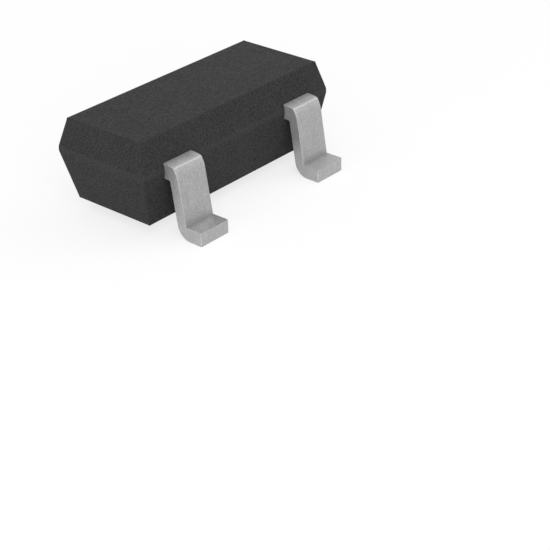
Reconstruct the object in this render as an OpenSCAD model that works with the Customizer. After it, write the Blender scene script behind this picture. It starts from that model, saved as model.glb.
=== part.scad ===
// SOT-23 transistor: an epoxy body moulded round a stamped three-lead frame that carries the die.
// Millimetres. The feet stand on z = 0, leads 1 and 2 point to -Y and lead 3 points to +Y.

/* [Body] */
// Length of the body along X, at the parting line
body_l = 2.97; // [2.8:0.01:3.1]
// Width of the body along Y, at the parting line
body_w = 1.285; // [1.2:0.005:1.4]
// Height of the underside above the board
standoff = 0.141; // [0.05:0.001:0.25]
// Depth of the body below the parting line
lower_h = 0.614; // [0.5:0.002:0.7]
// Height of the body above the parting line
upper_h = 0.353; // [0.32:0.001:0.5]
// Draft of the end faces above the parting line, in degrees
end_draft_upper = 14; // [4:0.5:18]
// Draft of the end faces below the parting line, in degrees
end_draft_lower = 13.5; // [4:0.5:18]
// Draft of the long sides above the parting line, in degrees
side_draft_upper = 15.5; // [4:0.5:18]
// Draft of the long sides below the parting line, in degrees
side_draft_lower = 9.5; // [4:0.5:15]
// Radius that rounds the parting line
parting_r = 0.19; // [0.05:0.01:0.4]
// Radius of the edges of the top face and the underside
edge_r = 0.016; // [0.005:0.001:0.04]

/* [Leads] */
// Distance between the centre lines of leads 1 and 2
lead_pitch = 1.9; // [1.8:0.01:2]
// Width of a lead
lead_w = 0.418; // [0.3:0.002:0.5]
// Height of the top of the lead frame above the parting line
strip_rise = 0.069; // [0.04:0.001:0.085]
// Thickness of the lead frame, from the shoulders inwards
shoulder_t = 0.177; // [0.1:0.001:0.2]
// Thickness of a leg, drawn thinner by the forming
leg_t = 0.126; // [0.09:0.001:0.16]
// Thickness of a foot
foot_t = 0.162; // [0.1:0.001:0.18]
// Reach of a shoulder, from the body to the outer face of the leg
shoulder_l = 0.156; // [0.14:0.002:0.4]
// Length of a foot, from the outer face of the leg to the toe
foot_l = 0.212; // [0.15:0.002:0.5]
// Lean of a leg away from the vertical, in degrees
leg_lean = 8.6; // [3:0.1:12]
// Radius of the outside of the shoulder bend
shoulder_outer_r = 0.123; // [0.08:0.001:0.14]
// Radius of the inside of the shoulder bend
shoulder_inner_r = 0.02; // [0.01:0.001:0.04]
// Radius of the outside of the heel bend
heel_outer_r = 0.174; // [0.1:0.002:0.22]
// Radius of the inside of the heel bend
heel_inner_r = 0.036; // [0.02:0.001:0.06]

/* [Lead frame inside the body] */
// Resin between the side of the body and the plates of the frame
plate_cover = 0.2; // [0.16:0.005:0.24]
// Resin between the side of the body and the free edge of the die pad
pad_cover = 0.26; // [0.2:0.005:0.3]
// Length of the die pad along X
pad_l = 0.9; // [0.7:0.01:0.95]
// Width of a bond post along X
post_w = 0.58; // [0.5:0.01:0.6]
// Length of a bond post along Y
post_l = 0.38; // [0.25:0.01:0.6]
// Radius of the notches that lock each lead in the resin
lock_r = 0.06; // [0.03:0.005:0.08]
// Radius of the corners of the plates
plate_r = 0.05; // [0.02:0.005:0.1]

/* [Die and wires] */
// Side of the square die
die_w = 0.36; // [0.25:0.01:0.5]
// Thickness of the die
die_t = 0.1; // [0.06:0.005:0.11]
// Thickness of the bond layer under the die
attach_t = 0.015; // [0.005:0.001:0.02]
// Width of the bond layer's rim around the die
attach_rim = 0.02; // [0.01:0.005:0.04]
// Diameter of the bond wires
wire_d = 0.025; // [0.018:0.001:0.03]
// Distance of each wire's ball from the centre line of the die
bond_x = 0.09; // [0.06:0.005:0.12]
// Diameter of the ball at the die end of a wire
ball_d = 0.07; // [0.05:0.005:0.09]
// Height of the ball
ball_h = 0.016; // [0.01:0.001:0.02]
// Radius of the bend above the ball, at the middle of the wire
wire_bend_r = 0.025; // [0.02:0.001:0.03]
// Resin above the highest point of the wires
wire_cover = 0.06; // [0.03:0.005:0.08]
// Diameter of the stitch at the lead end of a wire
stitch_d = 0.06; // [0.04:0.005:0.09]
// Height of the stitch
stitch_h = 0.01; // [0.006:0.001:0.016]

/* [Hidden] */
$fn = 48;
wall_y = body_w / 2;
parting_z = standoff + lower_h;
body_top = parting_z + upper_h;
strip_top = parting_z + strip_rise;
strip_bottom = strip_top - shoulder_t;

// Lead profile, in the plane of Y and Z: the sharp corners before rounding
leg_top_y = wall_y + shoulder_l;
leg_across = leg_t / cos(leg_lean);
leg_slope = tan(leg_lean);
leg_foot_y = leg_top_y + (strip_top - foot_t) * leg_slope;
toe_y = leg_foot_y + foot_l;
inner_top_y = leg_top_y + shoulder_t * leg_slope - leg_across;
inner_foot_y = leg_top_y + strip_top * leg_slope - leg_across;
lead_root_y = wall_y - plate_cover;

// Plates of the frame
pad_front_y = pad_cover - wall_y;
pad_back_y = lead_root_y;
pad_mid_y = (pad_front_y + pad_back_y) / 2;
post_mid_y = post_l / 2 - lead_root_y;
lock_y = wall_y - plate_cover / 2;

// Stack on the die pad
die_bottom = strip_top + attach_t;
die_top = die_bottom + die_t;

// Wire, in the upright plane through its two ends: along it and up
ball_at = [bond_x, pad_mid_y];
stitch_at = [lead_pitch / 2, post_mid_y];
wire_span = norm(stitch_at - ball_at);
wire_heading = atan2(stitch_at.y - ball_at.y, stitch_at.x - ball_at.x);
bend_centre = [wire_bend_r, body_top - wire_cover - wire_d / 2 - wire_bend_r];
run_end = [wire_span - stitch_d, strip_top + stitch_h + wire_d / 2];
run = run_end - bend_centre;
run_slope = atan2(-run.y, run.x) + asin(wire_bend_r / norm(run));
wire_sides = 10;
bend_steps = 6;

// Flats that stand for each rounded edge of the body
edge_steps = 4;
parting_steps = 6;

function unit(v) = v / norm(v);

// The sliver between a sharp corner and the arc of radius r that touches both of its sides
module corner_sliver(before, corner, after, r) {
    to_before = unit(before - corner);
    to_after = unit(after - corner);
    half_angle = acos(to_before * to_after) / 2;
    reach = r / tan(half_angle);
    centre = corner + unit(to_before + to_after) * r / sin(half_angle);
    difference() {
        polygon([corner, corner + to_before * reach, centre, corner + to_after * reach]);
        translate(centre) circle(r);
    }
}

// An outline with each corner rounded by the radius of the same index, 0 for a sharp one.
// The points run anticlockwise, and a corner that turns clockwise is filled instead of cut.
module rounded_outline(points, radii) {
    count = len(points);
    function before(i) = points[(i + count - 1) % count];
    function after(i) = points[(i + 1) % count];
    function turns_out(i) = cross(points[i] - before(i), after(i) - points[i]) > 0;
    difference() {
        union() {
            polygon(points);
            for (i = [0:count - 1])
                if (radii[i] > 0 && !turns_out(i))
                    corner_sliver(before(i), points[i], after(i), radii[i]);
        }
        for (i = [0:count - 1])
            if (radii[i] > 0 && turns_out(i))
                corner_sliver(before(i), points[i], after(i), radii[i]);
    }
}

// Points of the arc of radius r that rounds a corner, in the order of the outline
function corner_arc(before, corner, after, r, steps) =
    let (
        to_before = unit(before - corner),
        to_after = unit(after - corner),
        half_angle = acos(to_before * to_after) / 2,
        centre = corner + unit(to_before + to_after) * r / sin(half_angle),
        turn = 180 - 2 * half_angle,
        out = -unit(to_before + to_after)
    )
    [
        for (i = [0:steps])
            let (a = turn * (i / steps - 0.5))
            centre + r * [out.x * cos(a) - out.y * sin(a), out.x * sin(a) + out.y * cos(a)]
    ];

// Upright section of the body: widest at the parting line, drawn in by the draft above and below
module body_section(width, upper_draft, lower_draft) {
    half = width / 2;
    half_top = half - upper_h * tan(upper_draft);
    half_bottom = half - lower_h * tan(lower_draft);
    bottom = [half_bottom, standoff];
    middle = [half, parting_z];
    top = [half_top, body_top];
    right_side = concat(
        corner_arc([0, standoff], bottom, middle, edge_r, edge_steps),
        corner_arc(bottom, middle, top, parting_r, parting_steps),
        corner_arc(middle, top, [0, body_top], edge_r, edge_steps)
    );
    last = len(right_side) - 1;
    left_side = [for (i = [last:-1:0]) [-right_side[i].x, right_side[i].y]];
    polygon(concat(right_side, left_side));
}

// Outer form of the body: the long section and the cross section, where they overlap
module body_form() {
    intersection() {
        rotate([90, 0, 0])
            linear_extrude(body_w, center = true)
                body_section(body_l, end_draft_upper, end_draft_lower);
        rotate([90, 0, 90])
            linear_extrude(body_l, center = true)
                body_section(body_w, side_draft_upper, side_draft_lower);
    }
}

// Lead from its root in the resin to its toe, formed to a gull wing towards +Y
module formed_lead() {
    rotate([90, 0, 90])
        linear_extrude(lead_w, center = true)
            rounded_outline(
                [
                    [lead_root_y, strip_bottom], [inner_top_y, strip_bottom], [inner_foot_y, 0],
                    [toe_y, 0], [toe_y, foot_t], [leg_foot_y, foot_t],
                    [leg_top_y, strip_top], [lead_root_y, strip_top]
                ],
                [0, shoulder_inner_r, heel_outer_r, 0, 0, heel_inner_r, shoulder_outer_r, 0]
            );
}

// Flat plate of the frame, with a notch in each side of the lead just inside the body
module lead_with_plate(plate_w, plate_l) {
    difference() {
        union() {
            formed_lead();
            translate([0, 0, strip_bottom])
                linear_extrude(shoulder_t)
                    rounded_outline(
                        [
                            [-plate_w / 2, lead_root_y - plate_l], [plate_w / 2, lead_root_y - plate_l],
                            [plate_w / 2, lead_root_y], [-plate_w / 2, lead_root_y]
                        ],
                        [plate_r, plate_r, plate_r, plate_r]
                    );
        }
        for (side = [-1, 1])
            translate([side * lead_w / 2, lock_y, strip_bottom - shoulder_t])
                cylinder(r = lock_r, h = 3 * shoulder_t);
    }
}

// Lead 2 in its place, and lead 1 as its mirror image
module side_lead() {
    translate([lead_pitch / 2, 0, 0])
        mirror([0, 1, 0])
            lead_with_plate(post_w, post_l);
}

// Rings along the wire of lead 2: distance along it, height, heading above the level, and radius
wire_rings = concat(
    [
        [0, die_top, 90, ball_d / 2],
        [0, die_top + ball_h, 90, ball_d / 2],
        [0, die_top + ball_h, 90, wire_d / 2]
    ],
    [
        for (i = [0:bend_steps])
            let (
                heading = 90 - (90 + run_slope) * i / bend_steps,
                at = bend_centre + wire_bend_r * [-sin(heading), cos(heading)]
            )
            [at.x, at.y, heading, wire_d / 2]
    ],
    [
        [run_end.x, run_end.y, -run_slope, wire_d / 2],
        [wire_span, strip_top + stitch_h, -90, stitch_d / 2],
        [wire_span, strip_top, -90, stitch_d / 2]
    ]
);

// Wire of lead 2 in its place: ball, rise, bend, straight run and stitch in one sweep
module side_wire() {
    last = len(wire_rings) - 1;
    ring_points = [
        for (ring = wire_rings)
            for (side = [0:wire_sides - 1])
                let (
                    turn = 360 * side / wire_sides,
                    out = ring[3] * cos(turn)
                )
                [ring[0] - out * sin(ring[2]), ring[3] * sin(turn), ring[1] + out * cos(ring[2])]
    ];
    walls = [
        for (i = [0:last - 1])
            for (side = [0:wire_sides - 1])
                let (
                    next = (side + 1) % wire_sides,
                    low = i * wire_sides,
                    high = low + wire_sides
                )
                each [[low + side, low + next, high + next], [low + side, high + next, high + side]]
    ];
    start = [for (side = [wire_sides - 1:-1:0]) side];
    end = [for (side = [0:wire_sides - 1]) last * wire_sides + side];
    translate([ball_at.x, ball_at.y, 0])
        rotate([0, 0, wire_heading])
            polyhedron(ring_points, concat([start], walls, [end]));
}

module base_lead() {
    color("silver") mirror([1, 0, 0]) side_lead();
}

module emitter_lead() {
    color("silver") side_lead();
}

module collector_lead() {
    color("silver") lead_with_plate(pad_l, pad_back_y - pad_front_y);
}

module die_attach() {
    attach_w = die_w + 2 * attach_rim;
    color("dimgray")
        translate([-attach_w / 2, pad_mid_y - attach_w / 2, strip_top])
            cube([attach_w, attach_w, attach_t]);
}

module die() {
    color("slategray")
        translate([-die_w / 2, pad_mid_y - die_w / 2, die_bottom])
            cube([die_w, die_w, die_t]);
}

module base_wire() {
    color("gold") mirror([1, 0, 0]) side_wire();
}

module emitter_wire() {
    color("gold") side_wire();
}

// Resin that fills the mould round everything it holds
module moulded_body() {
    color("#3c3c3d")
        difference() {
            body_form();
            base_lead();
            emitter_lead();
            collector_lead();
            die_attach();
            die();
            base_wire();
            emitter_wire();
        }
}

moulded_body();
base_lead();
emitter_lead();
collector_lead();
die_attach();
die();
base_wire();
emitter_wire();
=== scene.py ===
"""SOT-23 transistor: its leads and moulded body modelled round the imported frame, and their finishes."""

import math

import bmesh
import bpy
from bpy.props import FloatProperty, FloatVectorProperty, PointerProperty
from mathutils import Matrix, Vector


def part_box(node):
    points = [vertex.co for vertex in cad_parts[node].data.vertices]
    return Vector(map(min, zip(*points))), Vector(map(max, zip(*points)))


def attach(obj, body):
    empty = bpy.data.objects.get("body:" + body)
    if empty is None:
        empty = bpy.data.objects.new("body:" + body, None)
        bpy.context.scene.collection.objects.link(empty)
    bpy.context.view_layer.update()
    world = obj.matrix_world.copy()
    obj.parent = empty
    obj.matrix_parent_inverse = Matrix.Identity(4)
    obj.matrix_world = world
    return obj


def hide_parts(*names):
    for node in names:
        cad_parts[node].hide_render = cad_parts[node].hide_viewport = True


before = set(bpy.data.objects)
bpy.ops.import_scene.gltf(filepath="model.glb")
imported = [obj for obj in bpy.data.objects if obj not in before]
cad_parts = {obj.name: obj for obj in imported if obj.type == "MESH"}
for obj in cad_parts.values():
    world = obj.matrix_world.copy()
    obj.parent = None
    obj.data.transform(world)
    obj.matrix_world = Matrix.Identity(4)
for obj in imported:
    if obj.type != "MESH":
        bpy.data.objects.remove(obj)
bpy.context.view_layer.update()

bl_info = {
    "name": "SOT-23 transistor",
    "version": (1, 0, 0),
    "blender": (4, 5, 0),
    "location": "3D View > Sidebar > Transistor",
    "description": "Models a small-outline transistor round its packed frame and finishes its surfaces",
    "category": "Add Mesh",
}

MM = 0.001
MICRON = 0.000001

# Pieces are modelled with a millimetre as one unit and brought to size at the end,
# because bevels and cuts of a few microns fail at the scale of a metre.
CLOSE = 1e-4
BEND_STEPS = 12
SMALL_BEND_STEPS = 6
EDGE_STEPS = 3
SOFT_EDGE_STEPS = 8
PARTING_STEPS = 14
NOTCH_SIDES = 32
ROUND = 0.5
SHARP = math.radians(40)
LEVEL = math.radians(0.2)
QUARTER_TURN = math.pi / 2
SENSOR_MM = 36

# A notch cutter is this many times as long as the strip is thick, so that it passes right through.
CUT_THROUGH = 3

# Most of a noise lies round the middle of its range from 0 to 1, within this width.
NOISE_ROUGHNESS = 0.6
PATTERN_MIDDLE = 0.5
PATTERN_WIDTH = 0.3


def length(name, description, default):
    """A property for a length, given in millimetres."""
    return FloatProperty(
        name=name, description=description, default=default * MM, precision=6, unit="LENGTH"
    )


def angle(name, description, default):
    """A property for an angle, given in degrees."""
    return FloatProperty(
        name=name, description=description, default=math.radians(default), precision=4, unit="ROTATION"
    )


def level(name, description, default):
    """A property for a plain number that isn't negative."""
    return FloatProperty(name=name, description=description, default=default, min=0, precision=4)


def colour(name, description, default):
    """A property for a linear colour."""
    return FloatVectorProperty(
        name=name, description=description, default=default, size=3, min=0, max=1, subtype="COLOR"
    )


class SOT23_BodySizes(bpy.types.PropertyGroup):
    """Sizes of the moulded body that its box in the frame doesn't give."""

    long_side: length("Length", "Length at the parting line, before it is rounded", 2.97)
    short_side: length("Width", "Width at the parting line, before it is rounded", 1.285)
    lower_depth: length("Lower depth", "Depth of the body below the parting line", 0.614)
    end_draft_upper: angle("Upper end draft", "Draft of the end faces above the parting line", 14)
    end_draft_lower: angle("Lower end draft", "Draft of the end faces below the parting line", 13.5)
    side_draft_upper: angle("Upper side draft", "Draft of the long sides above the parting line", 15.5)
    side_draft_lower: angle("Lower side draft", "Draft of the long sides below the parting line", 9.5)
    parting_radius: length("Parting radius", "Radius that rounds the parting line", 0.19)
    edge_reach: length("Edge reach", "How far the rounding of the other edges reaches", 0.032)
    edge_fullness: level("Edge fullness", "How far it fills its corner, where 0.5 is round", 0.8)
    # The epoxy is paler in a band of this width along the parting line.
    parting_band_w: length("Witness width", "Width of the paler line of trimmed flash at the parting", 0.11)


class SOT23_LeadSizes(bpy.types.PropertyGroup):
    """Sizes of the leads that their boxes in the frame don't give."""

    strip_w: length("Width", "Width of a lead", 0.418)
    shoulder_t: length("Shoulder thickness", "Thickness from the shoulders inwards", 0.177)
    leg_t: length("Leg thickness", "Thickness of a leg, drawn thinner by the forming", 0.126)
    foot_t: length("Foot thickness", "Thickness of a foot", 0.162)
    shoulder_reach: length("Shoulder reach", "From the body to the outer face of the leg", 0.156)
    foot_reach: length("Foot length", "From the outer face of the leg to the toe", 0.212)
    crown_reach: length("Crown reach", "From the body to where the shoulder turns down", 0.0575)
    crown_r: length("Crown radius", "Radius of that turn", 0.43)
    crest_drop: length("Crest drop", "From the top of the shoulder down to the crest", 0.017)
    crest_inset: length("Crest inset", "From the face of the leg in to the crest", 0.029)
    crest_r: length("Crest radius", "Radius of the crest", 0.03)
    knee_drop: length("Knee drop", "From the top of the shoulder down to the leg", 0.094)
    knee_r: length("Knee radius", "Radius of the turn from the crest to the leg", 0.2)
    shoulder_inner_r: length("Shoulder inner radius", "Inside of the shoulder bend", 0.02)
    heel_outer_r: length("Heel outer radius", "Outside of the heel bend", 0.174)
    # These two place the painted shade of the tin: its reach in the inner corner of the heels, and the
    # height over which the painted shade on the legs fades out.
    heel_shade_reach: length("Crease reach", "How far the plating is dull inside the heel", 0.075)
    leg_shade_fade: length("Wipe fade", "Height over which the wiped face of the leg fades out", 0.03)
    edge_r: length("Edge radius", "Radius that stamping and plating leave on the edges", 0.011)
    plate_cover: length("Plate cover", "Resin between the side of the body and the plates", 0.2)
    plate_r: length("Plate corner radius", "Radius of the corners of the plates", 0.05)
    notch_r: length("Notch radius", "Radius of the notches that lock a lead in the resin", 0.06)


class SOT23_Finishes(bpy.types.PropertyGroup):
    """Colours of the materials."""

    epoxy: colour("Mould compound", "Black epoxy of the body", (0.0225, 0.0225, 0.0225))
    epoxy_filler: colour("Filler", "Silica grains that show in the epoxy", (0.0435, 0.0435, 0.0435))
    tin: colour("Tin", "Matt tin plating of the leads", (0.477, 0.477, 0.477))
    tin_shade: colour("Tin shade", "Duller grains of the tin plating", (0.315, 0.315, 0.315))
    silicon: colour("Silicon", "Polished face of the die", (0.17, 0.18, 0.21))
    silicon_line: colour("Silicon lines", "Metal lines on the die", (0.42, 0.42, 0.42))
    bond_layer: colour("Bond layer", "Silver-filled adhesive under the die", (0.33, 0.33, 0.33))
    bond_flake: colour("Bond flakes", "Silver flakes in the adhesive", (0.6, 0.6, 0.6))
    gold: colour("Gold", "Bond wires", (0.83, 0.58, 0.22))
    gold_shade: colour("Gold shade", "Drawing marks on the wires", (0.7, 0.46, 0.15))
    floor: colour("Floor", "Pale studio floor", (0.92, 0.92, 0.92))


class SOT23_Stage(bpy.types.PropertyGroup):
    """Floor, light and camera."""

    floor_side: length("Floor", "Side of the square floor", 800)
    shadow_share: level("Shadow", "Share of the floor's own shading that the camera sees", 0.25)
    fill: level("Fill", "Strength of the even light from all round", 0.5)
    lamp_distance: length("Lamp distance", "From the part to each lamp", 80)
    top_side: length("Top lamp", "Side of the square lamp overhead", 90)
    top_glow: level("Top strength", "Brightness of the lamp overhead, where 1 is white", 0.76)
    key_side: length("Key lamp", "Side of the square lamp beside the camera", 60)
    key_turn: angle("Key turn", "Turn of the key lamp from the front to the left end", 38)
    key_rise: angle("Key rise", "Angle of the key lamp above the floor", 30)
    key_glow: level("Key strength", "Brightness of the key lamp, where 1 is white", 3.3)
    left_side: length("Left lamp", "Side of the square lamp at the left end", 24)
    left_rise: angle("Left rise", "Angle of the left lamp above the floor", 9)
    left_glow: level("Left strength", "Brightness of the left lamp, where 1 is white", 7.2)
    right_side: length("Right lamp", "Side of the square lamp at the right of the front", 45)
    right_turn: angle("Right turn", "Turn of the right lamp from the front to the right end", 60)
    right_rise: angle("Right rise", "Angle of the right lamp above the floor", 40)
    right_glow: level("Right strength", "Brightness of the right lamp, where 1 is white", 1.6)
    lens: length("Lens", f"Focal length on a sensor of {SENSOR_MM} mm", 100.46)
    camera_left: length("Camera left", "Camera, towards the left of the part", 11.0675)
    camera_front: length("Camera front", "Camera, towards the front of the part", 10.9773)
    camera_height: length("Camera height", "Camera above the floor", 7.6611)
    camera_heading: angle("Heading", "Turn of the camera to the right of straight back", 48.2007)
    camera_dip: angle("Dip", "How far the camera looks down", 29.8512)
    camera_roll: angle("Roll", "How far the camera leans to the right", 1.744)


def mm(metres):
    """Metres as the millimetres that pieces are modelled in."""
    return metres / MM


def box_mm(node):
    """Lowest and highest corner of a node, in millimetres."""
    return [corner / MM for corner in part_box(node)]


def make_active(piece):
    """Select one object alone, so that the operators act on it."""
    bpy.ops.object.select_all(action="DESELECT")
    piece.select_set(True)
    bpy.context.view_layer.objects.active = piece


def add_block(name, low, high):
    """A cube between two corners, with its place in its mesh, open for editing."""
    bpy.ops.object.select_all(action="DESELECT")
    bpy.ops.mesh.primitive_cube_add(size=1, calc_uvs=False, location=(low + high) / 2, scale=high - low)
    piece = bpy.context.object
    piece.name = name
    piece.data.name = name
    bpy.ops.object.transform_apply(location=True, rotation=False, scale=True)
    bpy.ops.object.mode_set(mode="EDIT")
    return piece


def pick(piece, kind, wanted):
    """Select the vertices, edges or faces (verts, edges, faces) for which wanted is true."""
    modes = {"verts": "VERT", "edges": "EDGE", "faces": "FACE"}
    bpy.ops.mesh.select_mode(type=modes[kind])
    bpy.ops.mesh.select_all(action="DESELECT")
    mesh = bmesh.from_edit_mesh(piece.data)
    found = [element for element in getattr(mesh, kind) if wanted(element)]
    if not found:
        raise RuntimeError(f"{piece.name}: none of its {kind} lies where the next step needs it")
    for element in found:
        element.select_set(True)
    bmesh.update_edit_mesh(piece.data)


def split_at(point, normal):
    """Cut every face that a plane crosses, and keep both sides."""
    bpy.ops.mesh.select_all(action="SELECT")
    bpy.ops.mesh.bisect(plane_co=point, plane_no=normal)


def round_edges(radius, turn, steps, fullness=ROUND):
    """Bevel the selected edges to an arc of that radius, where the faces turn by that angle.

    A fullness above 0.5 swells the arc towards the corner that it rounds."""
    bpy.ops.mesh.bevel(
        offset=radius * math.tan(turn / 2),
        offset_type="OFFSET",
        segments=steps,
        profile=fullness,
        affect="EDGES",
        clamp_overlap=False,
    )


def is_sharp_ridge(edge):
    """True for an edge that stands out and turns by more than a smooth bend does."""
    return edge.is_manifold and edge.calc_face_angle_signed() > SHARP


def apply_modifier(piece, kind, **settings):
    """Add a modifier with these settings and apply it."""
    make_active(piece)
    modifier = piece.modifiers.new(kind.title(), kind)
    for name, value in settings.items():
        setattr(modifier, name, value)
    bpy.ops.object.modifier_apply(modifier=modifier.name)


def cut(piece, cutter):
    """Take the cutter's form out of the piece, and delete the cutter."""
    apply_modifier(piece, "BOOLEAN", operation="DIFFERENCE", solver="EXACT", object=cutter)
    bpy.data.objects.remove(cutter)
    bpy.ops.object.mode_set(mode="EDIT")
    bpy.ops.mesh.select_all(action="SELECT")
    bpy.ops.mesh.dissolve_degenerate(threshold=CLOSE)
    bpy.ops.object.mode_set(mode="OBJECT")


def own_copy(source, name):
    """A copy of an object with a mesh of its own."""
    copy = source.copy()
    copy.data = source.data.copy()
    copy.name = name
    copy.data.name = name
    bpy.context.collection.objects.link(copy)
    return copy


def cutter_from(source):
    """A finished piece or a node at modelling scale, merged to a closed shell that can cut another."""
    cutter = own_copy(source, source.name + "_cutter")
    cutter.parent = None
    cutter.scale = (1 / MM,) * 3
    make_active(cutter)
    bpy.ops.object.transform_apply(location=True, rotation=True, scale=True)
    bpy.ops.object.mode_set(mode="EDIT")
    bpy.ops.mesh.select_all(action="SELECT")
    bpy.ops.mesh.remove_doubles(threshold=CLOSE)
    bpy.ops.mesh.customdata_custom_splitnormals_clear()
    bpy.ops.object.mode_set(mode="OBJECT")
    return cutter


def complete(piece, node, material):
    """Shade a modelled piece, bring it to its real size and put it in the place of its node."""
    make_active(piece)
    bpy.ops.object.shade_smooth()
    bpy.ops.object.shade_smooth_by_angle(angle=SHARP, keep_sharp_edges=False)
    apply_modifier(piece, "WEIGHTED_NORMAL", mode="FACE_AREA", weight=100, thresh=0, keep_sharp=True)
    bpy.ops.transform.resize(value=(MM,) * 3, center_override=(0, 0, 0))
    bpy.ops.object.transform_apply(location=True, rotation=True, scale=True)
    piece.data.materials.clear()
    piece.data.materials.append(material)
    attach(piece, "root")
    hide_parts(node)


class Surface:
    """A material under construction: a principled shader, and textures in object coordinates."""

    def __init__(self, name):
        self.material = bpy.data.materials.new(name)
        self.material.use_nodes = True
        self.tree = self.material.node_tree
        self.shader = self.tree.nodes["Principled BSDF"]
        coordinates = self.tree.nodes.new("ShaderNodeTexCoord")
        self.place = coordinates.outputs["Object"]
        self.normal = coordinates.outputs["Normal"]

    def add(self, kind, inputs=None, **settings):
        """Add a node with these settings, and inputs that are values or other nodes' outputs."""
        node = self.tree.nodes.new(kind)
        for name, value in settings.items():
            setattr(node, name, value)
        for name, value in (inputs or {}).items():
            if isinstance(value, bpy.types.NodeSocket):
                self.tree.links.new(value, node.inputs[name])
            else:
                node.inputs[name].default_value = value
        return node

    def noise(self, grain, detail, stretch=(1, 1, 1)):
        """Noise with features of about the given size in metres, drawn out along an axis by stretch."""
        shares = [1 / factor for factor in stretch]
        drawn_out = self.add("ShaderNodeMapping", {"Vector": self.place, "Scale": shares})
        inputs = {
            "Vector": drawn_out.outputs["Vector"],
            "Scale": 1 / grain,
            "Detail": detail,
            "Roughness": NOISE_ROUGHNESS,
        }
        return self.add("ShaderNodeTexNoise", inputs).outputs["Fac"]

    def cells(self, grain):
        """Crystal-like cells of the given size in metres, each with a level of its own."""
        cell = self.add("ShaderNodeTexVoronoi", {"Vector": self.place, "Scale": 1 / grain})
        return self.add("ShaderNodeSeparateColor", {"Color": cell.outputs["Color"]}).outputs["Red"]

    def calculate(self, operation, first, second=0.0):
        """The result of a sum on one number or two."""
        return self.add("ShaderNodeMath", {0: first, 1: second}, operation=operation).outputs["Value"]

    def off_height(self, height):
        """How far a point lies above or below a height."""
        own_height = self.add("ShaderNodeSeparateXYZ", {"Vector": self.place}).outputs["Z"]
        return self.calculate("ABSOLUTE", self.calculate("SUBTRACT", own_height, height))

    def vector(self, operation, first, second=(0, 0, 0), result="Vector"):
        """The result of a sum on one vector or two, which is a vector or, as a Value, a number."""
        node = self.add("ShaderNodeVectorMath", {0: first, 1: second}, operation=operation)
        return node.outputs[result]

    def in_profile(self, vector):
        """A vector without its part along X, as the profile of a lead shows it."""
        return self.vector("MULTIPLY", vector, (0, 1, 1))

    def blend(self, first, second, share):
        """First and second mixed by a constant share of the second."""
        inputs = {0: share, 2: first, 3: second}
        return self.add("ShaderNodeMix", inputs, data_type="FLOAT").outputs[0]

    def ramp(self, value, start, end, first, last):
        """First where the value is at most start, last where it is at least end, even between them."""
        inputs = {
            "Value": value,
            "From Min": start,
            "From Max": end,
            "To Min": first,
            "To Max": last,
        }
        return self.add("ShaderNodeMapRange", inputs).outputs["Result"]

    def spread(self, pattern, low, high, width=PATTERN_WIDTH):
        """The values round the middle of a pattern, spread over a range."""
        start = PATTERN_MIDDLE - width / 2
        end = PATTERN_MIDDLE + width / 2
        return self.ramp(pattern, start, end, low, high)

    def tint(self, value, first, second):
        """A colour between two, by a value from 0 to 1."""
        colours = self.add("ShaderNodeValToRGB", {"Fac": value})
        colours.color_ramp.elements[0].color = (*first, 1)
        colours.color_ramp.elements[1].color = (*second, 1)
        return colours.outputs["Color"]

    def dress(self, base, roughness, height, depth, metallic=0.0, shine=0.5):
        """Connect the textures to the shader. Depth is the relief in metres."""
        relief = self.add("ShaderNodeBump", {"Height": height, "Strength": 1.0, "Distance": depth})
        self.tree.links.new(base, self.shader.inputs["Base Color"])
        self.tree.links.new(roughness, self.shader.inputs["Roughness"])
        self.tree.links.new(relief.outputs["Normal"], self.shader.inputs["Normal"])
        self.shader.inputs["Metallic"].default_value = metallic
        self.shader.inputs["Specular IOR Level"].default_value = shine
        return self.material


def mould_compound(finishes, parting, parting_band_w):
    """Matt black epoxy: filler grains, the fine texture of an eroded mould, and faint flow clouds.

    The epoxy is paler, towards the filler colour, in a band along the parting line."""
    surface = Surface("mould_compound")
    grain = surface.noise(grain=20 * MICRON, detail=2)
    clouds = surface.noise(grain=400 * MICRON, detail=2)
    filler = surface.spread(surface.blend(grain, clouds, share=0.15), low=0, high=1)
    off_parting = surface.off_height(parting)
    # Paler towards the filler colour at the parting line, fading out at half the band's width.
    parting_band = surface.ramp(off_parting, start=0, end=parting_band_w / 2, first=0.4, last=0)
    shown = surface.calculate("ADD", filler, parting_band)
    base = surface.tint(shown, finishes.epoxy, finishes.epoxy_filler)
    roughness = surface.spread(grain, low=0.5, high=0.34)
    return surface.dress(base, roughness, height=grain, depth=4 * MICRON, shine=0.025)


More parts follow.
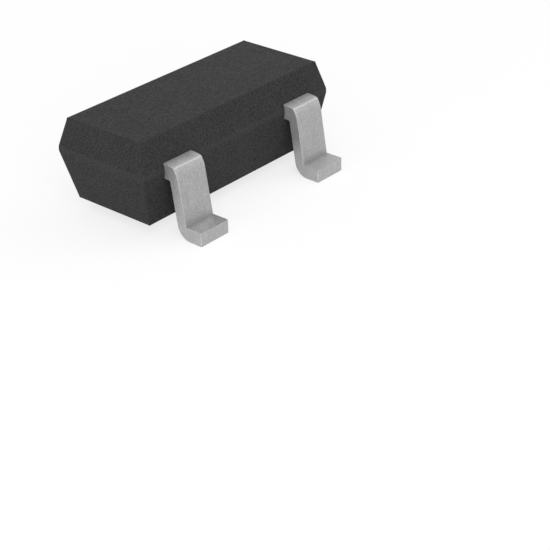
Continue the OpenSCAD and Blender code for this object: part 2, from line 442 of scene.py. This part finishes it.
def matt_tin(finishes, heel, leg_top, heel_shade_reach, leg_shade_fade):
    """Matt tin: small crystals over faint rolling marks along the strip.

    Shade is painted into its colour on the rolled faces of the strip, but not on its cut sides: darker
    towards the inner corner of the heels, where shade falls, and darker over the height of the legs,
    fading out at their top and bottom."""
    surface = Surface("matt_tin")
    crystals = surface.noise(grain=14 * MICRON, detail=2)
    rolling = surface.noise(grain=30 * MICRON, detail=3, stretch=(1, 6, 6))
    plating = surface.blend(crystals, rolling, share=0.3)
    # Folded along X, the leads in front and the one behind share one profile.
    folded = surface.vector("ABSOLUTE", surface.in_profile(surface.place))
    # Painted shade: the plating is darker towards the inner corner of each heel, where shade falls.
    off_heel = surface.vector("DISTANCE", folded, heel, result="Value")
    heel_shade = surface.ramp(off_heel, start=0, end=heel_shade_reach, first=0.6, last=0)
    # Painted shade: the legs are darker over their height, fading out at their top and bottom.
    half_leg = (leg_top - heel.z) / 2
    off_middle = surface.off_height(heel.z + half_leg)
    darkened = surface.ramp(off_middle, start=half_leg - leg_shade_fade, end=half_leg, first=0.2, last=0)
    # This is 1 on the rolled faces of the strip and 0 on its cut sides.
    rolled_face = surface.vector("LENGTH", surface.in_profile(surface.normal), result="Value")
    # The painted shade of the heels and the legs is taken off the plating's colour on the rolled faces
    # alone.
    darker = surface.calculate("MULTIPLY", surface.calculate("ADD", heel_shade, darkened), rolled_face)
    shown = surface.calculate("SUBTRACT", surface.spread(plating, low=0, high=1), darker)
    base = surface.tint(shown, finishes.tin_shade, finishes.tin)
    roughness = surface.spread(plating, low=0.44, high=0.56)
    return surface.dress(base, roughness, height=plating, depth=2.5 * MICRON, metallic=0.7)


def polished_silicon(finishes):
    """Die face: dark silicon with a grid of metal lines and a faint cloud in its polish."""
    surface = Surface("polished_silicon")
    inputs = {
        "Vector": surface.place,
        "Scale": 1 / (60 * MICRON),
        "Mortar Size": 0.04,
        "Mortar Smooth": 0.2,
    }
    lines = surface.add("ShaderNodeTexBrick", inputs).outputs["Fac"]
    clouds = surface.noise(grain=120 * MICRON, detail=2)
    base = surface.tint(lines, finishes.silicon, finishes.silicon_line)
    roughness = surface.spread(clouds, low=0.12, high=0.28)
    return surface.dress(base, roughness, height=lines, depth=0.5 * MICRON, metallic=0.3)


def silver_adhesive(finishes):
    """Bond layer: adhesive packed with silver flakes."""
    surface = Surface("silver_adhesive")
    flakes = surface.cells(grain=7 * MICRON)
    base = surface.tint(flakes, finishes.bond_layer, finishes.bond_flake)
    roughness = surface.spread(flakes, low=0.4, high=0.6, width=1)
    return surface.dress(base, roughness, height=flakes, depth=1 * MICRON, metallic=0.6)


def drawn_gold(finishes):
    """Bond wire: bright gold with fine drawing marks along X."""
    surface = Surface("drawn_gold")
    marks = surface.noise(grain=4 * MICRON, detail=2, stretch=(20, 1, 1))
    base = surface.tint(surface.spread(marks, low=0, high=1), finishes.gold_shade, finishes.gold)
    roughness = surface.spread(marks, low=0.16, high=0.3)
    return surface.dress(base, roughness, height=marks, depth=0.2 * MICRON, metallic=1.0)


def seen_white(tree):
    """1 for the rays that show the background itself: from the camera, a mirror or clear glass."""
    paths = tree.nodes.new("ShaderNodeLightPath")
    seen = paths.outputs["Is Camera Ray"]
    for name in ("Is Glossy Ray", "Is Transmission Ray"):
        either = tree.nodes.new("ShaderNodeMath")
        either.operation = "MAXIMUM"
        tree.links.new(seen, either.inputs[0])
        tree.links.new(paths.outputs[name], either.inputs[1])
        seen = either.outputs["Value"]
    return seen


def studio_floor(stage, finishes):
    """Pale floor that shows white, with a light share of the shadows that fall on it."""
    surface = Surface("studio_floor")
    clouds = surface.noise(grain=8 * MM, detail=2)
    pale = Vector(finishes.floor)
    clouded = pale * 0.99
    base = surface.tint(surface.spread(clouds, low=0, high=1), clouded, pale)
    roughness = surface.spread(clouds, low=0.85, high=0.95)
    surface.dress(base, roughness, height=clouds, depth=1 * MICRON, shine=0.0)
    white = surface.add("ShaderNodeEmission", {"Strength": 1.0})
    whitening = surface.calculate("MULTIPLY", seen_white(surface.tree), 1 - stage.shadow_share)
    shaders = {1: surface.shader.outputs["BSDF"], 2: white.outputs["Emission"]}
    mix = surface.add("ShaderNodeMixShader", {0: whitening, **shaders})
    output = surface.tree.nodes["Material Output"]
    surface.tree.links.new(mix.outputs["Shader"], output.inputs["Surface"])
    return surface.material


def lead_corners(sizes, wall, toe, top):
    """Corners of a lead along Y and up: of its upper face and, beside each, of its lower face."""
    foot_t = mm(sizes.foot_t)
    leg_top = wall + mm(sizes.shoulder_reach)
    leg_foot = toe - mm(sizes.foot_reach)
    slope = (leg_foot - leg_top) / (top - foot_t)
    across = mm(sizes.leg_t) / math.cos(math.atan(slope))

    def on_leg(height, inwards=0):
        """Point at a height on the outer face of the leg, or inwards from it."""
        return Vector((0, leg_top + (top - height) * slope - inwards, height))

    underside = top - mm(sizes.shoulder_t)
    upper = {
        "crown": Vector((0, wall + mm(sizes.crown_reach), top)),
        "crest": on_leg(top - mm(sizes.crest_drop), mm(sizes.crest_inset)),
        "knee": on_leg(top - mm(sizes.knee_drop)),
        "heel": on_leg(foot_t),
        "toe": Vector((0, toe, foot_t)),
    }
    lower = {
        "crown": Vector((0, wall, underside)),
        "crest": on_leg(underside, across),
        "knee": on_leg(underside / 2, across),
        "heel": on_leg(0, across),
        "toe": Vector((0, toe, 0)),
    }
    return upper, lower


def lies_along(edge, corner):
    """True for an edge across the strip that passes through a corner of its profile."""
    return all(math.hypot(v.co.y - corner.y, v.co.z - corner.z) < CLOSE for v in edge.verts)


def draw_out_strip(piece, sizes, upper, lower, root):
    """Extrude the strip from the front of its plate, one bend at a time, to its toe."""
    half = mm(sizes.strip_w) / 2
    for side in (-half, half):
        split_at((side, 0, 0), (1, 0, 0))
    edge_up = Vector((0, root, upper["crown"].z))
    edge_low = Vector((0, root, lower["crown"].z))
    front = (edge_up + edge_low) / 2
    pick(piece, "faces", lambda f: (f.calc_center_median() - front).length < CLOSE)
    for station in upper:
        next_up, next_low = upper[station], lower[station]
        move = next_up - edge_up
        bpy.ops.mesh.extrude_region_move(TRANSFORM_OT_translate={"value": move})
        follow = edge_low + move
        pick(piece, "edges", lambda e: lies_along(e, follow))
        bpy.ops.transform.translate(value=next_low - follow)
        middle = (next_up + next_low) / 2
        pick(piece, "faces", lambda f: (f.calc_center_median() - middle).length < CLOSE)
        edge_up, edge_low = next_up, next_low
    bpy.ops.mesh.select_all(action="SELECT")
    bpy.ops.mesh.dissolve_limited(angle_limit=LEVEL)


def bend_strip(piece, sizes, upper, lower):
    """Round the shoulder, outside and inside, and the heel, outside alone, each by its own radius."""
    fall, drop, bend = [
        math.atan2(upper[start].z - upper[end].z, upper[end].y - upper[start].y)
        for start, end in (("crown", "crest"), ("crest", "knee"), ("knee", "heel"))
    ]
    bends = [
        (upper["crown"], sizes.crown_r, fall, BEND_STEPS),
        (upper["crest"], sizes.crest_r, drop - fall, SMALL_BEND_STEPS),
        (upper["knee"], sizes.knee_r, bend - drop, SMALL_BEND_STEPS),
        (lower["crest"], sizes.shoulder_inner_r, bend, SMALL_BEND_STEPS),
        (lower["heel"], sizes.heel_outer_r, bend, BEND_STEPS),
    ]
    for corner, radius, turn, steps in bends:
        pick(piece, "edges", lambda e: lies_along(e, corner))
        round_edges(mm(radius), turn, steps)


def notch_strip(piece, sizes, wall, low, high):
    """Cut the two half-round notches that lock the lead in the resin."""
    for side in (-1, 1):
        bpy.ops.object.select_all(action="DESELECT")
        bpy.ops.mesh.primitive_cylinder_add(
            vertices=NOTCH_SIDES,
            radius=mm(sizes.notch_r),
            depth=CUT_THROUGH * (high - low),
            location=(side * mm(sizes.strip_w) / 2, wall - mm(sizes.plate_cover) / 2, (low + high) / 2),
        )
        cut(piece, bpy.context.object)


def form_lead(name, sizes, wall, toe, top, plate_w, plate_end):
    """A lead that points to +Y: plate, strip, bends, rounded edges and notches."""
    upper, lower = lead_corners(sizes, wall, toe, top)
    root = wall - mm(sizes.plate_cover)
    bottom = top - mm(sizes.shoulder_t)
    low = Vector((-plate_w / 2, plate_end, bottom))
    high = Vector((plate_w / 2, root, top))
    piece = add_block(name, low, high)
    pick(piece, "edges", lambda e: abs(e.verts[0].co.z - e.verts[1].co.z) > CLOSE)
    round_edges(mm(sizes.plate_r), QUARTER_TURN, SMALL_BEND_STEPS)
    draw_out_strip(piece, sizes, upper, lower, root)
    bend_strip(piece, sizes, upper, lower)
    pick(piece, "edges", lambda e: is_sharp_ridge(e) and not lies_along(e, upper["toe"]))
    round_edges(mm(sizes.edge_r), QUARTER_TURN, EDGE_STEPS)
    bpy.ops.object.mode_set(mode="OBJECT")
    notch_strip(piece, sizes, wall, bottom, top)
    return piece


class SOT23_OT_set_stage(bpy.types.Operator):
    """Lay the floor, hang the light and set the camera."""

    bl_idname = "sot23.set_stage"
    bl_label = "Set the stage"

    def execute(self, context):
        stage = context.scene.sot23_stage
        self.lay_floor(stage, context.scene.sot23_finishes)
        self.set_light(context.scene, stage)
        self.set_camera(context.scene, stage)
        context.scene.view_settings.view_transform = "Standard"
        return {"FINISHED"}

    def lay_floor(self, stage, finishes):
        """A large flat floor under the feet."""
        bpy.ops.object.select_all(action="DESELECT")
        bpy.ops.mesh.primitive_plane_add(size=stage.floor_side)
        floor = bpy.context.object
        floor.name = "studio_floor"
        floor.data.materials.append(studio_floor(stage, finishes))

    def set_light(self, scene, stage):
        """Even light from all round, and soft lamps overhead, beside the camera, left and right."""
        world = bpy.data.worlds.new("studio")
        world.use_nodes = True
        scene.world = world
        tree = world.node_tree
        strength = tree.nodes.new("ShaderNodeMapRange")
        strength.inputs["To Min"].default_value = stage.fill
        strength.inputs["To Max"].default_value = 1.0
        tree.links.new(seen_white(tree), strength.inputs["Value"])
        tree.nodes["Background"].inputs["Color"].default_value = (1, 1, 1, 1)
        tree.links.new(strength.outputs["Result"], tree.nodes["Background"].inputs["Strength"])
        lamps = {
            "top_lamp": (0, QUARTER_TURN, stage.top_side, stage.top_glow),
            "key_lamp": (stage.key_turn, stage.key_rise, stage.key_side, stage.key_glow),
            "left_lamp": (QUARTER_TURN, stage.left_rise, stage.left_side, stage.left_glow),
            "right_lamp": (-stage.right_turn, stage.right_rise, stage.right_side, stage.right_glow),
        }
        for name, (turn, rise, side, glow) in lamps.items():
            self.hang_lamp(name, turn, rise, stage.lamp_distance, side, glow)

    def hang_lamp(self, name, turn, rise, distance, side, glow):
        """A square lamp that faces the part, turned from its front to its left end and then raised."""
        raised = Vector((0, -math.cos(rise), math.sin(rise)))
        place = Matrix.Rotation(-turn, 3, "Z") @ raised * distance
        bpy.ops.object.light_add(type="AREA", location=place)
        lamp = bpy.context.object
        lamp.name = name
        lamp.rotation_euler = (-place).to_track_quat("-Z", "Y").to_euler()
        lamp.data.shape = "SQUARE"
        lamp.data.size = side
        lamp.data.energy = glow * math.pi * side**2

    def set_camera(self, scene, stage):
        """The camera at the photograph's place, angle and lens."""
        bpy.ops.object.camera_add()
        camera = bpy.context.object
        camera.location = (-stage.camera_left, -stage.camera_front, stage.camera_height)
        heading = Matrix.Rotation(-stage.camera_heading, 3, "Z")
        dip = Matrix.Rotation(QUARTER_TURN - stage.camera_dip, 3, "X")
        roll = Matrix.Rotation(-stage.camera_roll, 3, "Z")
        camera.rotation_euler = (heading @ dip @ roll).to_euler()
        camera.data.sensor_width = SENSOR_MM
        camera.data.lens = mm(stage.lens)
        camera.data.clip_start = 1 * MM
        camera.data.clip_end = 2 * stage.floor_side
        scene.camera = camera


class SOT23_OT_form_leads(bpy.types.Operator):
    """Model the gull-wing leads: two alike at the front and the one with the die pad behind."""

    bl_idname = "sot23.form_leads"
    bl_label = "Form the leads"

    def execute(self, context):
        sizes = context.scene.sot23_leads
        finishes = context.scene.sot23_finishes
        wall = mm(context.scene.sot23_body.short_side) / 2

        low, high = box_mm("collector_lead")
        # The heel and the top of the legs place the painted shade in the tin.
        heel = Vector((0, high.y * MM - sizes.foot_reach, sizes.foot_t))
        leg_top = high.z * MM - sizes.crest_drop
        material = matt_tin(finishes, heel, leg_top, sizes.heel_shade_reach, sizes.leg_shade_fade)
        plate_w = high.x - low.x
        collector = form_lead("collector_lead_tinned", sizes, wall, high.y, high.z, plate_w, low.y)

        low, high = box_mm("emitter_lead")
        plate_w = high.x - low.x
        emitter = form_lead("emitter_lead_tinned", sizes, wall, -low.y, high.z, plate_w, -high.y)
        emitter.rotation_euler.z = math.pi
        base = own_copy(emitter, "base_lead_tinned")
        emitter.location.x = (low.x + high.x) / 2
        base.location.x = -emitter.location.x

        complete(collector, "collector_lead", material)
        complete(emitter, "emitter_lead", material)
        complete(base, "base_lead", material)
        return {"FINISHED"}


class SOT23_OT_mould_body(bpy.types.Operator):
    """Model the drafted body and cut the seats of all that it is moulded round."""

    bl_idname = "sot23.mould_body"
    bl_label = "Mould the body"

    leads = ("base_lead_tinned", "emitter_lead_tinned", "collector_lead_tinned")
    inside = ("die_attach", "die", "base_wire", "emitter_wire")

    def execute(self, context):
        sizes = context.scene.sot23_body
        low, high = box_mm("moulded_body")
        parting = low.z + mm(sizes.lower_depth)
        half = Vector((mm(sizes.long_side) / 2, mm(sizes.short_side) / 2, 0))
        lowest = Vector((-half.x, -half.y, low.z))
        highest = Vector((half.x, half.y, high.z))
        body = add_block("moulded_body_epoxy", lowest, highest)
        split_at((0, 0, parting), (0, 0, 1))
        upper_depth = high.z - parting
        lower_depth = parting - low.z
        self.draw_in(body, half, high.z, upper_depth, sizes.end_draft_upper, sizes.side_draft_upper)
        self.draw_in(body, half, low.z, lower_depth, sizes.end_draft_lower, sizes.side_draft_lower)
        self.round_parting(body, sizes, parting)
        pick(body, "edges", is_sharp_ridge)
        round_edges(mm(sizes.edge_reach), QUARTER_TURN, SOFT_EDGE_STEPS, sizes.edge_fullness)
        bpy.ops.object.mode_set(mode="OBJECT")
        leads = [bpy.data.objects[name] for name in self.leads]
        inside = [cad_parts[name] for name in self.inside]
        for insert in leads + inside:
            cut(body, cutter_from(insert))
        material = mould_compound(context.scene.sot23_finishes, parting * MM, sizes.parting_band_w)
        complete(body, "moulded_body", material)
        return {"FINISHED"}

    def draw_in(self, body, half, height, depth, end_draft, side_draft):
        """Shrink the face at a height by the drafts of the ends and the sides over that depth."""
        pick(body, "faces", lambda f: all(abs(v.co.z - height) < CLOSE for v in f.verts))
        along = 1 - depth * math.tan(end_draft) / half.x
        across = 1 - depth * math.tan(side_draft) / half.y
        bpy.ops.transform.resize(value=(along, across, 1), center_override=(0, 0, height))

    def round_parting(self, body, sizes, parting):
        """Round the line where the halves of the mould meet, by the mean turn of its sides."""
        pick(body, "edges", lambda e: all(abs(v.co.z - parting) < CLOSE for v in e.verts))
        drafts = (
            sizes.end_draft_upper,
            sizes.end_draft_lower,
            sizes.side_draft_upper,
            sizes.side_draft_lower,
        )
        round_edges(mm(sizes.parting_radius), sum(drafts) / 2, PARTING_STEPS)


class SOT23_OT_finish_inside(bpy.types.Operator):
    """Give the die, its bond layer and the wires in the body their finishes."""

    bl_idname = "sot23.finish_inside"
    bl_label = "Finish the inside"

    def execute(self, context):
        finishes = context.scene.sot23_finishes
        gold = drawn_gold(finishes)
        materials = {
            "die": ("silicon", polished_silicon(finishes)),
            "die_attach": ("silver_epoxy", silver_adhesive(finishes)),
            "base_wire": ("gold_wire", gold),
            "emitter_wire": ("gold_wire", gold),
        }
        for name, (slot, material) in materials.items():
            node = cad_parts[name]
            for material_slot in node.material_slots:
                material_slot.material = material
        return {"FINISHED"}


class SOT23_PT_build(bpy.types.Panel):
    """The steps that build the transistor, in order, and the sizes that they use."""

    bl_label = "SOT-23 transistor"
    bl_idname = "SOT23_PT_build"
    bl_space_type = "VIEW_3D"
    bl_region_type = "UI"
    bl_category = "Transistor"

    def draw(self, context):
        for step in OPERATORS:
            self.layout.operator(step.bl_idname)
        for group in GROUPS:
            settings = getattr(context.scene, group)
            box = self.layout.box()
            for name in settings.bl_rna.properties.keys():
                if name not in ("rna_type", "name"):
                    box.prop(settings, name)


GROUPS = {
    "sot23_body": SOT23_BodySizes,
    "sot23_leads": SOT23_LeadSizes,
    "sot23_finishes": SOT23_Finishes,
    "sot23_stage": SOT23_Stage,
}
OPERATORS = (SOT23_OT_set_stage, SOT23_OT_form_leads, SOT23_OT_mould_body, SOT23_OT_finish_inside)
CLASSES = (*GROUPS.values(), *OPERATORS, SOT23_PT_build)


def register():
    """Register the classes and hang the settings on the scene."""
    for each in CLASSES:
        bpy.utils.register_class(each)
    for name, group in GROUPS.items():
        setattr(bpy.types.Scene, name, PointerProperty(type=group))


def unregister():
    """Take the settings off the scene and unregister the classes."""
    for name in GROUPS:
        delattr(bpy.types.Scene, name)
    for each in reversed(CLASSES):
        bpy.utils.unregister_class(each)


def main():
    """Build the transistor step by step."""
    register()
    bpy.ops.sot23.set_stage()
    bpy.ops.sot23.form_leads()
    bpy.ops.sot23.mould_body()
    bpy.ops.sot23.finish_inside()
    bpy.context.view_layer.update()


if __name__ == "__main__":
    main()
